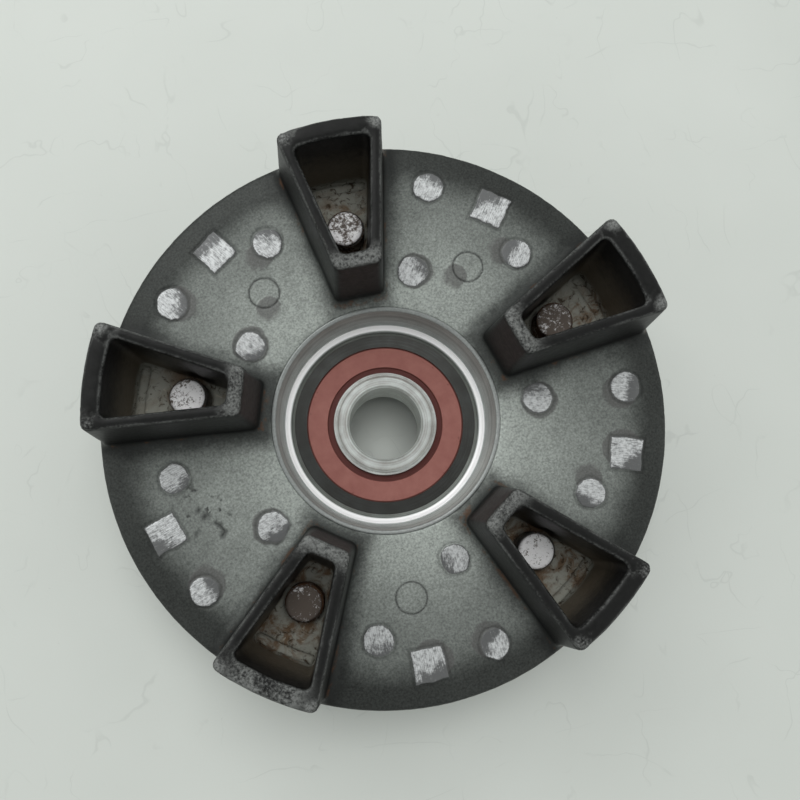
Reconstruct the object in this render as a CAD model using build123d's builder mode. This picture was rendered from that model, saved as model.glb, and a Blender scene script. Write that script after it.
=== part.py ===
from build123d import *
import os
from math import cos, radians, sin, sqrt

# Rear sprocket carrier of a chain-driven wheel (the cush-drive coupling), in millimetres.
# The origin is on the axle axis, in the plane that the sprocket seats on.
# +Z points away from the sprocket, towards the wheel hub, and the first dog lies on +Y.

os.makedirs("parts", exist_ok=True)

# ---- Driving dimensions -------------------------------------------------------------------

DOG_COUNT = 5
FIRST_DOG_ANGLE = 90

# Cast disc
DISC_RADIUS = 75.5
DISC_FACE_Z = 24.0
DISC_UNDERSIDE_Z = 16.0
RIM_SLOPE_WIDTH = 6.0
RIM_SLOPE_DROP = 0.9
RIM_FILLET = 1.2
RIM_LIP_WIDTH = 3.2
RIM_LIP_DRAFT = 0.4
RIM_LIP_Z = 12.5
RIM_LIP_FILLET = 0.8

# Dogs: hollow wedges that push on the rubber dampers, wide end outwards
DOG_TOP_Z = 52.0
DOG_TOP = dict(outer_radius=72.6, inner_end=35.0, outer_half=13.4, inner_half=5.8)
DOG_OUTER_DRAFT = 2.1
DOG_INNER_DRAFT = 2.0
DOG_SIDE_TAPER = 2.0
DOG_ROOT_Z = 22.0
DOG_CORNER_FILLET = 1.8
DOG_RIM_FILLET = 1.2
DOG_FOOT_FILLET = 3.0
HOLLOW_MOUTH = dict(outer_radius=68.0, inner_end=38.6, outer_half=9.8, inner_half=3.5)
HOLLOW_OUTER_DRAFT = -0.8
HOLLOW_INNER_DRAFT = -3.2
HOLLOW_SIDE_TAPER = -1.2
HOLLOW_FLOOR_Z = 21.0
HOLLOW_CORNER_FILLET = 1.6
GUTTER_START = 64.4
GUTTER_END = 66.9
GUTTER_HALF_WIDTH = 7.9
GUTTER_FLOOR_Z = 19.2
GUTTER_OVERCUT = 0.3

# Marks of the ejector pins, one set in each sector between two dogs.
# Each place is a radius and an angle from the middle of the sector.
PIN_PAD_RADIUS = 4.1
PIN_PAD_HEIGHT = 0.4
PIN_PAD_PLACES = [(41.0, 13.85), (64.9, 13.6), (57.6, -14.2)]
SQUARE_PAD_PLACE = (64.7, -2.4)
SQUARE_PAD_SIDE = 8.6
SQUARE_PAD_CORNER = 0.8
WITNESS_RING_PLACE = (47.2, -4.2)
WITNESS_RING_RADIUS = 4.1
WITNESS_RING_WIDTH = 0.35
WITNESS_RING_DEPTH = 0.25
WITNESS_RING_SECTORS = (0, 2, 4)

# Hub around the bearing
RECESS_TOP_RADIUS = 29.2
RECESS_BOTTOM_RADIUS = 27.5
RECESS_FILLET = 0.6
BEARING_RADIUS = 26.0
BEARING_CHAMFER = 1.5
BEARING_SEAT_TOP_Z = 12.0
SHOULDER_RADIUS = 22.0
SHOULDER_THICKNESS = 2.5
HUB_RADIUS = 31.0
HUB_END_Z = -13.6
HUB_END_CHAMFER = 1.5
HUB_MOUTH_CHAMFER = 0.5
HUB_DRAFT = 0.6
PILOT_RADIUS = 39.95
PILOT_END_Z = -4.5
PILOT_CHAMFER = 1.0
SEAT_RING_RADIUS = 46.0
SEAT_RING_DRAFT = 1.5
CORE_POCKET_INNER = 33.6
CORE_POCKET_OUTER = 37.2
CORE_POCKET_TOP_Z = 8.0
CORE_POCKET_WEB = 5.0

# Stiffening under the disc
STUD_BOSS_RADIUS = 11.5
STUD_BOSS_TAPER = 4
RIB_THICKNESS = 4.0
RIB_TAPER = 4
RIB_EDGE_Z = 8.0
RIB_END_RADIUS = 73.0

# Studs, M10, screwed through the casting and standing out on the sprocket side
STUD_CIRCLE_RADIUS = 52.0
STUD_RADIUS = 5.0
STUD_INNER_RADIUS = 4.8
STUD_MOUTH_RADIUS = 5.6
STUD_TOP_Z = 28.4
STUD_END_Z = -21.0
STUD_CHAMFER = 0.65
STUD_COUNTERSINK_RADIUS = 6.2

# Sealed deep-groove ball bearing, 20 x 52 x 15, with an inner ring longer than the outer one
BEARING_WIDTH = 15.0
BEARING_TOP_Z = 11.2
BEARING_BORE_RADIUS = 10.0
INNER_RING_LENGTH = 21.0
INNER_RING_CHAMFER = 0.6
NOSE_TOP_Z = 13.2
NOSE_STEP_Z = 12.0
NOSE_RADIUS = 13.4
SEAL_LAND_RADIUS = 14.25
INNER_SHOULDER_RADIUS = 15.1
OUTER_SHOULDER_RADIUS = 20.9
OUTER_MOUTH_RADIUS = 21.75
OUTER_MOUTH_DEPTH = 0.9
OUTER_RING_CHAMFER = 0.9
SEAL_GROOVE_RADIUS = 22.5
SHOULDER_HALF_WIDTH = 5.2
BALL_COUNT = 7
BALL_RADIUS = 9.525 / 2
BALL_CIRCLE_RADIUS = 18.0
RACE_GROOVE_RADIUS = 4.95
RACE_CLEARANCE = 0.08

# Bearing cage: two pressed halves, riveted together between the balls
CAGE_INNER_RADIUS = 16.3
CAGE_OUTER_RADIUS = 19.7
CAGE_THICKNESS = 0.6
CAGE_BALL_CLEARANCE = 0.14
RIVET_RADIUS = 0.7
RIVET_HEAD_RADIUS = 1.2
RIVET_HEAD_HEIGHT = 0.45

# Bearing seals: rubber moulded on a steel washer. Depths are from the ring's face.
SEAL_FACE_DEPTH = 0.5
SEAL_BEAD_RADIUS = 22.4
SEAL_BEAD_TOP_DEPTH = 1.0
SEAL_BEAD_END_DEPTH = 2.2
SEAL_CORE_DEPTH = 1.3
SEAL_CORE_THICKNESS = 0.4
SEAL_CORE_INNER_RADIUS = 16.6
SEAL_CORE_OUTER_RADIUS = 21.4
SEAL_LIP_CLEARANCE = 0.07
SEAL_LIP_STEP_RADIUS = 15.8
SEAL_LIP_TOP_DEPTH = 1.25
SEAL_LIP_END_DEPTH = 2.0

# Dust seal on the sprocket side, 30 x 47 x 7
DUST_SEAL_RADIUS = 23.5
DUST_SEAL_WIDTH = 7.0
DUST_CASE_OUTER_RADIUS = 22.9
DUST_CASE_INNER_RADIUS = 18.3
DUST_CASE_THICKNESS = 0.8
DUST_LIP_RADIUS = 14.8
DUST_LIP_BACK_RADIUS = 15.88
DUST_SPRING_CIRCLE_RADIUS = 16.55
DUST_SPRING_RADIUS = 0.65
DUST_SPRING_HEIGHT = 3.9

# ---- Derived dimensions -------------------------------------------------------------------

DOG_PITCH = 360 / DOG_COUNT
DOG_ANGLES = [FIRST_DOG_ANGLE - DOG_PITCH * i for i in range(DOG_COUNT)]
SECTOR_ANGLES = [angle - DOG_PITCH / 2 for angle in DOG_ANGLES]
BEARING_MIDDLE_Z = BEARING_TOP_Z - BEARING_WIDTH / 2
BEARING_END_Z = BEARING_TOP_Z - BEARING_WIDTH
INNER_RING_END_Z = NOSE_TOP_Z - INNER_RING_LENGTH
SHOULDER_END_Z = BEARING_END_Z - SHOULDER_THICKNESS
DUST_SEAL_END_Z = SHOULDER_END_Z - DUST_SEAL_WIDTH
CAGE_POCKET_RADIUS = BALL_RADIUS + CAGE_BALL_CLEARANCE
BALL_PITCH = 360 / BALL_COUNT


def polar_point(radius, angle, z=0.0):
    """Point at a radius and an angle in degrees about the axle axis."""
    return (radius * cos(radians(angle)), radius * sin(radians(angle)), z)


def turned_section(*outline):
    """Closed outline of (radius, z) points, to be turned about the axle axis."""
    with BuildSketch(Plane.XZ) as section:
        with BuildLine():
            Polyline(*outline, close=True)
        make_face()
    return section.sketch


def wedge(low_z, top, outer_draft, inner_draft, side_taper):
    """Wedge along +X, up to the top of a dog. Its outer end is a cone about the axle axis, and
    its inner end and sides are flat. The drafts say how far each end moves outwards from the
    top down to the low end, and the taper is how far the sides lean, in degrees."""
    corner = sqrt(top["outer_radius"] ** 2 - top["outer_half"] ** 2)
    run = corner - top["inner_end"]
    rise = top["outer_half"] - top["inner_half"]
    level = cos(radians(side_taper)) / sqrt(run**2 + rise**2)
    outer_cone = turned_section(
        (0, low_z),
        (top["outer_radius"] + outer_draft, low_z),
        (top["outer_radius"], DOG_TOP_Z),
        (0, DOG_TOP_Z),
    )
    inner_plane = turned_section(
        (top["inner_end"] - inner_draft, low_z),
        (DISC_RADIUS + 1, low_z),
        (DISC_RADIUS + 1, DOG_TOP_Z),
        (top["inner_end"], DOG_TOP_Z),
    )
    with BuildPart() as block:
        revolve(outer_cone, axis=Axis.Z)
        extrude(inner_plane, amount=2 * top["outer_half"], both=True, mode=Mode.INTERSECT)
        for side in (1, -1):
            outward = (-rise * level, side * run * level, sin(radians(side_taper)))
            start = (top["inner_end"], side * top["inner_half"], DOG_TOP_Z)
            split(bisect_by=Plane(origin=start, z_dir=outward), keep=Keep.BOTTOM)
    return block.part


def climbing_edges(part, low_z, high_z):
    """Edges of a wedge that run from its lower section to its upper one."""
    return [
        edge
        for edge in part.edges()
        if edge.bounding_box().min.Z < low_z + 0.1 and edge.bounding_box().max.Z > high_z - 0.1
    ]


def circles(part, radius, low_z, high_z):
    """Circular edges of a given radius, between two heights."""
    return [
        edge
        for edge in part.edges().filter_by(GeomType.CIRCLE)
        if abs(edge.radius - radius) < 0.01 and low_z < edge.center().Z < high_z
    ]


def foot_edges(part):
    """Edges where the dogs' sides and inner ends meet the disc face or the sloping rim."""
    slope_start = DISC_RADIUS - RIM_SLOPE_WIDTH
    feet = []
    for edge in part.edges().filter_by(GeomType.CIRCLE, reverse=True):
        box = edge.bounding_box()
        middle = edge.center()
        radius = sqrt(middle.X**2 + middle.Y**2)
        on_face = abs(box.min.Z - DISC_FACE_Z) < 0.01 and abs(box.max.Z - DISC_FACE_Z) < 0.01
        on_slope = box.size.Z > 0.4 and abs(box.max.Z - DISC_FACE_Z) < 0.01
        if (on_face or on_slope) and RECESS_TOP_RADIUS + 1 < radius < slope_start + 3:
            feet.append(edge)
    return feet


# ---- Dog, the hollow inside it, and the gutter at the hollow's outer end ------------------

with BuildPart() as dog:
    add(wedge(DOG_ROOT_Z, DOG_TOP, DOG_OUTER_DRAFT, DOG_INNER_DRAFT, DOG_SIDE_TAPER))
    fillet(climbing_edges(dog, DOG_ROOT_Z, DOG_TOP_Z), DOG_CORNER_FILLET)

with BuildPart() as hollow:
    add(wedge(HOLLOW_FLOOR_Z, HOLLOW_MOUTH, HOLLOW_OUTER_DRAFT, HOLLOW_INNER_DRAFT, HOLLOW_SIDE_TAPER))
    fillet(climbing_edges(hollow, HOLLOW_FLOOR_Z, DOG_TOP_Z), HOLLOW_CORNER_FILLET)

with BuildPart() as gutter:
    with BuildSketch(Plane.XY.offset(GUTTER_FLOOR_Z)):
        Circle(GUTTER_END)
        Circle(GUTTER_START, mode=Mode.SUBTRACT)
        with Locations((GUTTER_END, 0)):
            Rectangle(GUTTER_END, 2 * GUTTER_HALF_WIDTH, mode=Mode.INTERSECT)
    extrude(amount=HOLLOW_FLOOR_Z - GUTTER_FLOOR_Z + GUTTER_OVERCUT)

# ---- Carrier: one aluminium casting -------------------------------------------------------

with BuildPart() as carrier:
    # Disc, hub, pilot and bearing seat in one turned section
    hub_section = turned_section(
        (RECESS_TOP_RADIUS, DISC_FACE_Z),
        (RECESS_BOTTOM_RADIUS, BEARING_SEAT_TOP_Z + BEARING_CHAMFER),
        (BEARING_RADIUS, BEARING_SEAT_TOP_Z),
        (BEARING_RADIUS, BEARING_END_Z),
        (SHOULDER_RADIUS, BEARING_END_Z),
        (SHOULDER_RADIUS, SHOULDER_END_Z),
        (DUST_SEAL_RADIUS, SHOULDER_END_Z),
        (DUST_SEAL_RADIUS, HUB_END_Z + HUB_MOUTH_CHAMFER),
        (DUST_SEAL_RADIUS + HUB_MOUTH_CHAMFER, HUB_END_Z),
        (HUB_RADIUS - HUB_END_CHAMFER, HUB_END_Z),
        (HUB_RADIUS, HUB_END_Z + HUB_END_CHAMFER),
        (HUB_RADIUS + HUB_DRAFT, PILOT_END_Z),
        (PILOT_RADIUS - PILOT_CHAMFER, PILOT_END_Z),
        (PILOT_RADIUS, PILOT_END_Z + PILOT_CHAMFER),
        (PILOT_RADIUS, 0),
        (SEAT_RING_RADIUS, 0),
        (SEAT_RING_RADIUS + SEAT_RING_DRAFT, DISC_UNDERSIDE_Z),
        (DISC_RADIUS - RIM_LIP_WIDTH, DISC_UNDERSIDE_Z),
        (DISC_RADIUS - RIM_LIP_WIDTH + RIM_LIP_DRAFT, RIM_LIP_Z),
        (DISC_RADIUS, RIM_LIP_Z),
        (DISC_RADIUS, DISC_FACE_Z - RIM_SLOPE_DROP),
        (DISC_RADIUS - RIM_SLOPE_WIDTH, DISC_FACE_Z),
    )
    revolve(hub_section, axis=Axis.Z)
    fillet(circles(carrier, DISC_RADIUS, DISC_UNDERSIDE_Z, DISC_FACE_Z), RIM_FILLET)
    fillet(circles(carrier, DISC_RADIUS, 0, DISC_UNDERSIDE_Z), RIM_LIP_FILLET)
    fillet(circles(carrier, RECESS_TOP_RADIUS, 0, DISC_FACE_Z + 1), RECESS_FILLET)

    # Stud bosses and ribs that stiffen the disc from below
    with BuildSketch(Plane.XY):
        with PolarLocations(STUD_CIRCLE_RADIUS, DOG_COUNT, start_angle=FIRST_DOG_ANGLE):
            Circle(STUD_BOSS_RADIUS)
    extrude(amount=DISC_UNDERSIDE_Z + 0.5, taper=-STUD_BOSS_TAPER)
    with BuildSketch(Plane.XY.offset(RIB_EDGE_Z)):
        with PolarLocations(0, 2 * DOG_COUNT, start_angle=FIRST_DOG_ANGLE):
            with Locations(((SEAT_RING_RADIUS + RIB_END_RADIUS) / 2, 0)):
                Rectangle(RIB_END_RADIUS - SEAT_RING_RADIUS, RIB_THICKNESS)
    extrude(amount=DISC_UNDERSIDE_Z - RIB_EDGE_Z + 0.5, taper=-RIB_TAPER)

    # Cored pockets between the hub and the pilot, parted by webs
    with BuildSketch(Plane.XY.offset(PILOT_END_Z)):
        Circle(CORE_POCKET_OUTER)
        Circle(CORE_POCKET_INNER, mode=Mode.SUBTRACT)
        with PolarLocations(CORE_POCKET_OUTER, DOG_COUNT, start_angle=FIRST_DOG_ANGLE):
            Rectangle(CORE_POCKET_OUTER, CORE_POCKET_WEB, mode=Mode.SUBTRACT)
    extrude(amount=CORE_POCKET_TOP_Z - PILOT_END_Z, mode=Mode.SUBTRACT)

    # Dogs, with a soft fillet at their feet
    with PolarLocations(0, DOG_COUNT, start_angle=FIRST_DOG_ANGLE):
        add(dog.part)
    fillet(foot_edges(carrier), DOG_FOOT_FILLET)

    # Hollow and gutter down through each dog, and a rounded rim around the mouth
    with PolarLocations(0, DOG_COUNT, start_angle=FIRST_DOG_ANGLE):
        add(hollow.part, mode=Mode.SUBTRACT)
        add(gutter.part, mode=Mode.SUBTRACT)
    fillet(carrier.edges().group_by(Axis.Z)[-1], DOG_RIM_FILLET)

    # Ejector pin marks: raised pads, and witness rings pressed into some sectors
    with BuildSketch(Plane.XY.offset(DISC_FACE_Z - 1)):
        for sector in SECTOR_ANGLES:
            for radius, angle in PIN_PAD_PLACES:
                with Locations(polar_point(radius, sector + angle)):
                    Circle(PIN_PAD_RADIUS)
        square_start = SECTOR_ANGLES[0] + SQUARE_PAD_PLACE[1]
        with PolarLocations(SQUARE_PAD_PLACE[0], DOG_COUNT, start_angle=square_start):
            RectangleRounded(SQUARE_PAD_SIDE, SQUARE_PAD_SIDE, SQUARE_PAD_CORNER)
    extrude(amount=1 + PIN_PAD_HEIGHT)
    with BuildSketch(Plane.XY.offset(DISC_FACE_Z - WITNESS_RING_DEPTH)):
        for sector in WITNESS_RING_SECTORS:
            ring_angle = SECTOR_ANGLES[sector] + WITNESS_RING_PLACE[1]
            with Locations(polar_point(WITNESS_RING_PLACE[0], ring_angle)):
                Circle(WITNESS_RING_RADIUS)
                Circle(WITNESS_RING_RADIUS - WITNESS_RING_WIDTH, mode=Mode.SUBTRACT)
    extrude(amount=1, mode=Mode.SUBTRACT)

    # Stud holes, countersunk at the floor of each hollow
    with Locations((0, 0, HOLLOW_FLOOR_Z)):
        with PolarLocations(STUD_CIRCLE_RADIUS, DOG_COUNT, start_angle=FIRST_DOG_ANGLE):
            CounterSinkHole(STUD_INNER_RADIUS, STUD_COUNTERSINK_RADIUS, HOLLOW_FLOOR_Z, counter_sink_angle=90)

    # A bevelled mouth keeps each stud hole's edge clear of the stud at the sprocket seat
    with BuildSketch():
        with PolarLocations(STUD_CIRCLE_RADIUS, DOG_COUNT, start_angle=FIRST_DOG_ANGLE):
            Circle(STUD_MOUTH_RADIUS)
    extrude(amount=STUD_MOUTH_RADIUS - STUD_INNER_RADIUS, taper=45, mode=Mode.SUBTRACT)

carrier.part.label = "carrier"
export_step(carrier.part, "parts/carrier.step")

# ---- Studs --------------------------------------------------------------------------------

for number, dog_angle in enumerate(DOG_ANGLES, start=1):
    with BuildPart() as stud:
        with BuildSketch(Plane.XY.offset(STUD_END_Z)):
            with Locations(polar_point(STUD_CIRCLE_RADIUS, dog_angle)):
                Circle(STUD_RADIUS)
        extrude(amount=-STUD_END_Z)
        with BuildSketch(Plane.XY):
            with Locations(polar_point(STUD_CIRCLE_RADIUS, dog_angle)):
                Circle(STUD_INNER_RADIUS)
        extrude(amount=STUD_TOP_Z)
        end_faces = stud.faces().sort_by(Axis.Z)
        chamfer(end_faces[0].edges() + end_faces[-1].edges(), STUD_CHAMFER)
    stud.part.label = f"stud_{number}"
    export_step(stud.part, f"parts/stud_{number}.step")

# ---- Bearing rings ------------------------------------------------------------------------


def race_groove(radius):
    """Round section of the groove that the balls run in, at a radius and mid-width."""
    with BuildSketch(Plane.XZ) as section:
        with Locations((radius, BEARING_MIDDLE_Z)):
            Circle(RACE_GROOVE_RADIUS)
    return section.sketch


with BuildPart() as bearing_outer_ring:
    half_section = [
        (SEAL_GROOVE_RADIUS, SHOULDER_HALF_WIDTH),
        (SEAL_GROOVE_RADIUS, BEARING_WIDTH / 2 - OUTER_MOUTH_DEPTH),
        (OUTER_MOUTH_RADIUS, BEARING_WIDTH / 2 - OUTER_MOUTH_DEPTH),
        (OUTER_MOUTH_RADIUS, BEARING_WIDTH / 2),
        (BEARING_RADIUS - OUTER_RING_CHAMFER, BEARING_WIDTH / 2),
        (BEARING_RADIUS, BEARING_WIDTH / 2 - OUTER_RING_CHAMFER),
    ]
    upper = [(OUTER_SHOULDER_RADIUS, SHOULDER_HALF_WIDTH)] + half_section
    lower = [(radius, -height) for radius, height in reversed(upper)]
    ring_points = [(radius, BEARING_MIDDLE_Z + height) for radius, height in upper + lower]
    revolve(turned_section(*ring_points), axis=Axis.Z)
    outer_groove_circle = BALL_CIRCLE_RADIUS + BALL_RADIUS + RACE_CLEARANCE - RACE_GROOVE_RADIUS
    revolve(race_groove(outer_groove_circle), axis=Axis.Z, mode=Mode.SUBTRACT)
bearing_outer_ring.part.label = "bearing_outer_ring"
export_step(bearing_outer_ring.part, "parts/bearing_outer_ring.step")

with BuildPart() as bearing_inner_ring:
    inner_ring_section = turned_section(
        (BEARING_BORE_RADIUS, INNER_RING_END_Z + INNER_RING_CHAMFER),
        (BEARING_BORE_RADIUS + INNER_RING_CHAMFER, INNER_RING_END_Z),
        (SEAL_LAND_RADIUS - INNER_RING_CHAMFER, INNER_RING_END_Z),
        (SEAL_LAND_RADIUS, INNER_RING_END_Z + INNER_RING_CHAMFER),
        (SEAL_LAND_RADIUS, BEARING_MIDDLE_Z - SHOULDER_HALF_WIDTH),
        (INNER_SHOULDER_RADIUS, BEARING_MIDDLE_Z - SHOULDER_HALF_WIDTH),
        (INNER_SHOULDER_RADIUS, BEARING_MIDDLE_Z + SHOULDER_HALF_WIDTH),
        (SEAL_LAND_RADIUS, BEARING_MIDDLE_Z + SHOULDER_HALF_WIDTH),
        (SEAL_LAND_RADIUS, NOSE_STEP_Z),
        (NOSE_RADIUS, NOSE_STEP_Z),
        (NOSE_RADIUS, NOSE_TOP_Z - INNER_RING_CHAMFER),
        (NOSE_RADIUS - INNER_RING_CHAMFER, NOSE_TOP_Z),
        (BEARING_BORE_RADIUS + INNER_RING_CHAMFER, NOSE_TOP_Z),
        (BEARING_BORE_RADIUS, NOSE_TOP_Z - INNER_RING_CHAMFER),
    )
    revolve(inner_ring_section, axis=Axis.Z)
    inner_groove_circle = BALL_CIRCLE_RADIUS - BALL_RADIUS - RACE_CLEARANCE + RACE_GROOVE_RADIUS
    revolve(race_groove(inner_groove_circle), axis=Axis.Z, mode=Mode.SUBTRACT)
bearing_inner_ring.part.label = "bearing_inner_ring"
export_step(bearing_inner_ring.part, "parts/bearing_inner_ring.step")

# ---- Balls and cage -----------------------------------------------------------------------

for number in range(BALL_COUNT):
    with BuildPart() as ball:
        ball_place = polar_point(BALL_CIRCLE_RADIUS, FIRST_DOG_ANGLE + BALL_PITCH * number, BEARING_MIDDLE_Z)
        with Locations(ball_place):
            Sphere(BALL_RADIUS)
    ball.part.label = f"ball_{number + 1}"
    export_step(ball.part, f"parts/ball_{number + 1}.step")


def cage_band(z, height):
    """Flat ring that both cage halves are pressed from."""
    return turned_section(
        (CAGE_INNER_RADIUS, z),
        (CAGE_OUTER_RADIUS, z),
        (CAGE_OUTER_RADIUS, z + height),
        (CAGE_INNER_RADIUS, z + height),
    )


for side_name, side in (("wheel_side", 1), ("sprocket_side", -1)):
    with BuildPart() as cage_half:
        revolve(cage_band(BEARING_MIDDLE_Z, side * CAGE_THICKNESS), axis=Axis.Z)
        with Locations((0, 0, BEARING_MIDDLE_Z)):
            with PolarLocations(BALL_CIRCLE_RADIUS, BALL_COUNT, start_angle=FIRST_DOG_ANGLE):
                Sphere(CAGE_POCKET_RADIUS + CAGE_THICKNESS)
        pocket_reach = side * (CAGE_POCKET_RADIUS + 2 * CAGE_THICKNESS)
        revolve(cage_band(BEARING_MIDDLE_Z, pocket_reach), axis=Axis.Z, mode=Mode.INTERSECT)
        with Locations((0, 0, BEARING_MIDDLE_Z)):
            with PolarLocations(BALL_CIRCLE_RADIUS, BALL_COUNT, start_angle=FIRST_DOG_ANGLE):
                Sphere(CAGE_POCKET_RADIUS, mode=Mode.SUBTRACT)
            rivet_start = FIRST_DOG_ANGLE + BALL_PITCH / 2
            with PolarLocations(BALL_CIRCLE_RADIUS, BALL_COUNT, start_angle=rivet_start):
                Cylinder(RIVET_RADIUS, 4 * CAGE_THICKNESS, mode=Mode.SUBTRACT)
    cage_half.part.label = f"cage_{side_name}"
    export_step(cage_half.part, f"parts/cage_{side_name}.step")

with BuildPart() as cage_rivets:
    with Locations((0, 0, BEARING_MIDDLE_Z)):
        with PolarLocations(BALL_CIRCLE_RADIUS, BALL_COUNT, start_angle=FIRST_DOG_ANGLE + BALL_PITCH / 2):
            Cylinder(RIVET_RADIUS, 2 * CAGE_THICKNESS)
            for side in (1, -1):
                with Locations((0, 0, side * (CAGE_THICKNESS + RIVET_HEAD_HEIGHT / 2))):
                    Cylinder(RIVET_HEAD_RADIUS, RIVET_HEAD_HEIGHT)
cage_rivets.part.label = "cage_rivets"
export_step(cage_rivets.part, "parts/cage_rivets.step")

# ---- Bearing seals ------------------------------------------------------------------------

for side_name, side in (("wheel_side", 1), ("sprocket_side", -1)):
    face_z = BEARING_MIDDLE_Z + side * BEARING_WIDTH / 2
    lip_radius = SEAL_LAND_RADIUS + SEAL_LIP_CLEARANCE
    rubber_outline = [
        (lip_radius, SEAL_LIP_TOP_DEPTH),
        (SEAL_LIP_STEP_RADIUS, SEAL_LIP_TOP_DEPTH),
        (SEAL_LIP_STEP_RADIUS + 0.3, SEAL_FACE_DEPTH),
        (OUTER_MOUTH_RADIUS - 0.4, SEAL_FACE_DEPTH),
        (OUTER_MOUTH_RADIUS - 0.1, SEAL_FACE_DEPTH + 0.3),
        (OUTER_MOUTH_RADIUS - 0.1, SEAL_BEAD_TOP_DEPTH),
        (SEAL_BEAD_RADIUS, SEAL_BEAD_TOP_DEPTH),
        (SEAL_BEAD_RADIUS, SEAL_BEAD_END_DEPTH),
        (SEAL_CORE_OUTER_RADIUS + 0.05, SEAL_BEAD_END_DEPTH),
        (SEAL_CORE_OUTER_RADIUS + 0.05, SEAL_CORE_DEPTH),
        (SEAL_CORE_INNER_RADIUS - 0.05, SEAL_CORE_DEPTH),
        (SEAL_CORE_INNER_RADIUS - 0.3, SEAL_LIP_END_DEPTH),
        (lip_radius, SEAL_LIP_END_DEPTH),
    ]
    core_outline = [
        (SEAL_CORE_INNER_RADIUS, SEAL_CORE_DEPTH),
        (SEAL_CORE_OUTER_RADIUS, SEAL_CORE_DEPTH),
        (SEAL_CORE_OUTER_RADIUS, SEAL_CORE_DEPTH + SEAL_CORE_THICKNESS),
        (SEAL_CORE_INNER_RADIUS, SEAL_CORE_DEPTH + SEAL_CORE_THICKNESS),
    ]

    with BuildPart() as seal_rubber:
        rubber_points = [(radius, face_z - side * depth) for radius, depth in rubber_outline]
        revolve(turned_section(*rubber_points), axis=Axis.Z)
    seal_rubber.part.label = f"seal_rubber_{side_name}"
    export_step(seal_rubber.part, f"parts/seal_rubber_{side_name}.step")

    with BuildPart() as seal_core:
        core_points = [(radius, face_z - side * depth) for radius, depth in core_outline]
        revolve(turned_section(*core_points), axis=Axis.Z)
    seal_core.part.label = f"seal_core_{side_name}"
    export_step(seal_core.part, f"parts/seal_core_{side_name}.step")

# ---- Dust seal: rubber on a steel case, with a garter spring behind its main lip ----------

flange_top = DUST_SEAL_END_Z + 2 * DUST_CASE_THICKNESS
flange_bottom = DUST_SEAL_END_Z + DUST_CASE_THICKNESS
spring_z = DUST_SEAL_END_Z + DUST_SPRING_HEIGHT
case_top = SHOULDER_END_Z - 0.3

with BuildPart() as dust_seal_rubber:
    dust_rubber_section = turned_section(
        (DUST_SEAL_RADIUS, SHOULDER_END_Z - 0.5),
        (DUST_SEAL_RADIUS, DUST_SEAL_END_Z + 0.4),
        (DUST_SEAL_RADIUS - 0.4, DUST_SEAL_END_Z),
        (DUST_CASE_INNER_RADIUS - 0.7, DUST_SEAL_END_Z),
        (DUST_LIP_RADIUS + 0.1, DUST_SEAL_END_Z + 0.5),
        (DUST_LIP_RADIUS + 0.1, DUST_SEAL_END_Z + 0.9),
        (DUST_LIP_BACK_RADIUS, DUST_SEAL_END_Z + 1.9),
        (DUST_LIP_RADIUS, spring_z - 0.5),
        (DUST_LIP_RADIUS, spring_z + 0.2),
        (DUST_LIP_RADIUS + 0.5, spring_z + 1.1),
        (DUST_LIP_BACK_RADIUS, spring_z + 1.1),
        (DUST_LIP_BACK_RADIUS, spring_z - 1.0),
        (DUST_CASE_INNER_RADIUS - 0.5, flange_top),
        (DUST_CASE_INNER_RADIUS, flange_top),
        (DUST_CASE_INNER_RADIUS, flange_bottom),
        (DUST_CASE_OUTER_RADIUS, flange_bottom),
        (DUST_CASE_OUTER_RADIUS, SHOULDER_END_Z - 0.1),
        (DUST_SEAL_RADIUS - 0.3, SHOULDER_END_Z - 0.1),
    )
    revolve(dust_rubber_section, axis=Axis.Z)
dust_seal_rubber.part.label = "dust_seal_rubber"
export_step(dust_seal_rubber.part, "parts/dust_seal_rubber.step")

with BuildPart() as dust_seal_case:
    dust_case_section = turned_section(
        (DUST_CASE_OUTER_RADIUS, flange_bottom),
        (DUST_CASE_OUTER_RADIUS, case_top),
        (DUST_CASE_OUTER_RADIUS - DUST_CASE_THICKNESS, case_top),
        (DUST_CASE_OUTER_RADIUS - DUST_CASE_THICKNESS, flange_top),
        (DUST_CASE_INNER_RADIUS, flange_top),
        (DUST_CASE_INNER_RADIUS, flange_bottom),
    )
    revolve(dust_case_section, axis=Axis.Z)
dust_seal_case.part.label = "dust_seal_case"
export_step(dust_seal_case.part, "parts/dust_seal_case.step")

with BuildPart() as dust_seal_spring:
    with Locations((0, 0, spring_z)):
        Torus(DUST_SPRING_CIRCLE_RADIUS, DUST_SPRING_RADIUS)
dust_seal_spring.part.label = "dust_seal_spring"
export_step(dust_seal_spring.part, "parts/dust_seal_spring.step")
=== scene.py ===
"""Looks of a motorcycle's rear sprocket carrier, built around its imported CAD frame.

The CAD frame is in metres: the axle is +Z, the sprocket seats on the plane z = 0, and the first
of the five dogs lies on +Y. Materials work in millimetres, measured in the object's own space.
"""

import math

import bmesh
import bpy
import numpy as np
from mathutils import Matrix, Vector, noise


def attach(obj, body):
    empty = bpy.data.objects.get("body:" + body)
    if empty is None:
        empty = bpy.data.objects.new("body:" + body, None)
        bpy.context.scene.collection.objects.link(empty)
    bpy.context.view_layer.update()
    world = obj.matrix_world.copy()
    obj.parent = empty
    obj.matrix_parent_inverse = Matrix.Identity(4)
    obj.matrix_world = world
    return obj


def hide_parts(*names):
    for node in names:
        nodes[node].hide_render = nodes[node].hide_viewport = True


MM = 0.001

# ---- Places and sizes that the looks need, in mm ------------------------------------------

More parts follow.
